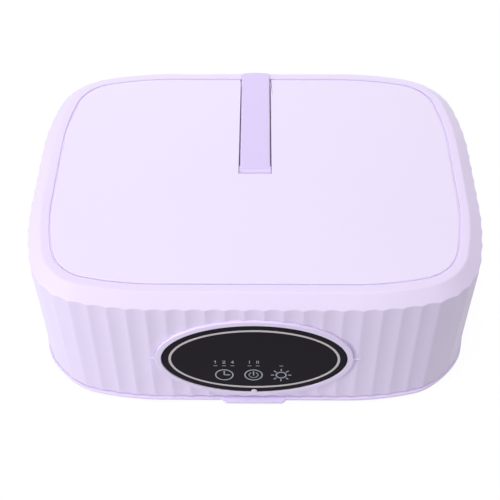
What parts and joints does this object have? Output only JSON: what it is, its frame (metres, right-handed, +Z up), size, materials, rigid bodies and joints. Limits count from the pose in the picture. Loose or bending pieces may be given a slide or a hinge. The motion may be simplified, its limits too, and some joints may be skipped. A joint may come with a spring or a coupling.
{
  "type": "folding clothes dryer",
  "caption": "Low rounded box with a fluted wall, flip-up strap handle and oval touch panel; the housing with its blower lifts off a tray and draws out a cloth drying bag.",
  "frame": {"origin": "on the floor under the middle of the box, between the feet", "axes": "+Z up, +Y to the rear, +X to the right as seen from the panel"},
  "size_m": [0.3322, 0.261, 0.1172],
  "materials": {
    "lavender_plastic": "satin moulded",
    "handle_plastic": "satin moulded",
    "black_panel": "gloss",
    "silver_trim": "satin",
    "white_plastic": "satin moulded",
    "foot_rubber": "matt",
    "bag_cloth": "woven, coated",
    "steel": "satin",
    "heater_fins": "plain",
    "heat_plastic": "matt",
    "fan_plastic": "matt",
    "circuit_board": "coated laminate",
    "board_part": "matt",
    "lamp_cover": "clear",
    "filter_foam": "open foam",
    "spring_brass": "plain",
    "lamp_diode": "clear"
  },
  "bodies": {
    "tray": {"bottom_tray": "lavender_plastic", "rubber_feet": "foot_rubber", "bag_lower_ring": "white_plastic", "lower_ring_screws": "steel", "drying_bag": "bag_cloth"},
    "housing": {"fluted_shell": "lavender_plastic", "top_frame": "lavender_plastic", "top_cover": "lavender_plastic", "handle_pin": "steel", "cover_screws": "steel", "oval_bezel": "lavender_plastic", "touch_panel": "black_panel", "trim_ring": "silver_trim", "control_board": "circuit_board", "board_screws": "steel", "touch_springs": "spring_brass", "indicator_leds": "lamp_diode", "outlet_plate": "white_plastic", "plate_screws": "steel", "bag_upper_ring": "white_plastic", "upper_ring_screws": "steel", "hanging_rails": "steel", "uv_boards": "circuit_board", "uv_lenses": "lamp_cover", "air_duct": "heat_plastic", "heater_frame": "heat_plastic", "heater_core": "heater_fins", "thermal_fuse": "board_part", "fan_frame": "fan_plastic", "fan_motor": "steel", "fan_screws": "steel", "power_board": "circuit_board", "power_board_screws": "steel", "board_parts": "board_part", "power_inlet": "fan_plastic", "intake_grille": "lavender_plastic", "intake_filter": "filter_foam"},
    "handle": {"hook_handle": "handle_plastic"},
    "fan": {"impeller": "fan_plastic"}
  },
  "joints": [
    {"name": "unfold", "type": "slide", "parent": "tray", "child": "housing", "axis": [0, 0, 1], "range_m": [0, 0.4], "deforming": ["drying_bag"]},
    {"name": "handle_flip", "type": "hinge", "parent": "housing", "child": "handle", "pos_m": [0, 0.0046, 0.1103], "axis": [1, 0, 0], "range_deg": [0, 90]},
    {"name": "fan_spin", "type": "hinge", "parent": "housing", "child": "fan", "pos_m": [0, 0, 0.0567], "axis": [0, 0, 1], "continuous": true}
  ]
}
